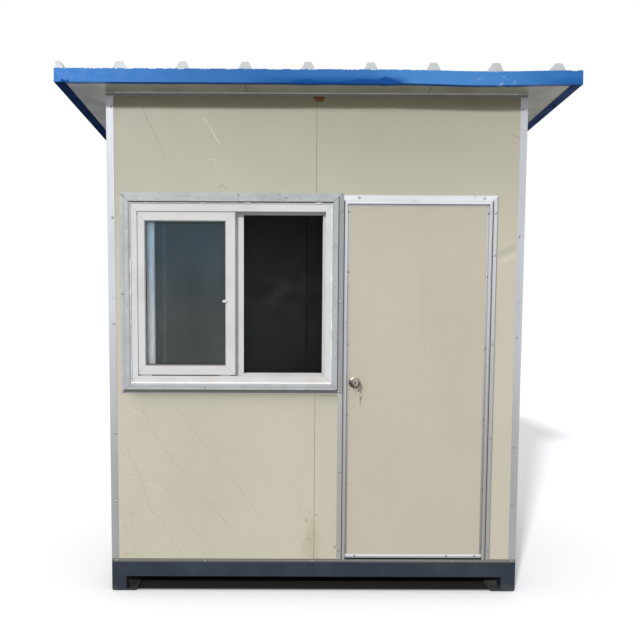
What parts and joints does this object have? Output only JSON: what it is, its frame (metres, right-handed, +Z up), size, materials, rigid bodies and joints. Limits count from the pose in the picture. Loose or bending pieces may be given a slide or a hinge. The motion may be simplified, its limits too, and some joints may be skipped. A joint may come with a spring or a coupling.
{
  "type": "security guard booth",
  "caption": "Small guard booth of insulated panels on a raised steel base, with a sliding window, an inward-opening door with a knob lock and an overhanging ribbed roof.",
  "frame": {"origin": "on the ground, at the middle of the booth's plan", "axes": "+Z up, -Y towards the front with the window and the door, +X to the right seen from the front"},
  "size_m": [2.766, 1.798, 2.9011],
  "materials": {
    "base_paint": "semi-gloss dark blue-grey paint over steel, scuffed",
    "floor_board": "plywood board with a worn vinyl face",
    "aluminium_track": "mill-finish extruded aluminium, dull",
    "wall_skin": "ivory coil-coated steel sheet on foam",
    "roof_skin": "pale grey coil-coated steel sheet on foam",
    "blue_flashing": "blue coil-coated folded sheet, dented",
    "window_plastic": "white PVC, slightly dirty",
    "window_glass": "clear float glass",
    "door_skin": "ivory coil-coated steel sheet on foam",
    "hinge_steel": "zinc-plated steel",
    "lock_metal": "satin nickel over brass",
    "key_metal": "nickel-plated key"
  },
  "bodies": {
    "booth": {"corner_legs": "base_paint", "base_channels": "base_paint", "floor_joists": "base_paint", "floor_board": "floor_board", "bottom_track_front": "aluminium_track", "bottom_track_rear": "aluminium_track", "bottom_tracks_side": "aluminium_track", "top_track_front": "aluminium_track", "top_track_rear": "aluminium_track", "top_tracks_side": "aluminium_track", "corner_angles": "aluminium_track", "inner_corner_angles": "aluminium_track", "front_wall_left_panel": "wall_skin", "front_wall_pier": "wall_skin", "front_wall_header": "wall_skin", "front_wall_door_strip": "wall_skin", "left_wall_front_panel": "wall_skin", "left_wall_rear_panel": "wall_skin", "right_wall_front_panel": "wall_skin", "right_wall_rear_panel": "wall_skin", "rear_wall_left_panel": "wall_skin", "rear_wall_right_panel": "wall_skin", "roof_panel_left": "roof_skin", "roof_panel_middle": "roof_skin", "roof_panel_right": "roof_skin", "fascia_front": "blue_flashing", "fascia_rear": "blue_flashing", "fascia_left": "blue_flashing", "fascia_right": "blue_flashing", "window_trim": "aluminium_track", "window_frame": "window_plastic", "outer_sash": "window_plastic", "inner_sash": "window_plastic", "window_glass": "window_glass", "window_latch": "window_plastic", "door_jamb_left": "aluminium_track", "door_jamb_right": "aluminium_track", "door_head": "aluminium_track", "hinge_jamb_leaves": "hinge_steel"},
    "door": {"door_leaf": "door_skin", "door_edging": "aluminium_track", "hinge_door_leaves": "hinge_steel", "lock_roses": "lock_metal"},
    "knob": {"door_knobs": "lock_metal", "door_key": "key_metal"}
  },
  "joints": [
    {"name": "door_hinge", "type": "hinge", "parent": "booth", "child": "door", "pos_m": [0.9675, -0.689, 1.2], "axis": [0, 0, -1], "range_deg": [0, 90]},
    {"name": "knob_turn", "type": "hinge", "parent": "door", "child": "knob", "pos_m": [0.221, -0.7195, 1.2], "axis": [0, 1, 0], "range_deg": [-60, 60], "stiffness_Nm_per_rad": 0.5}
  ]
}
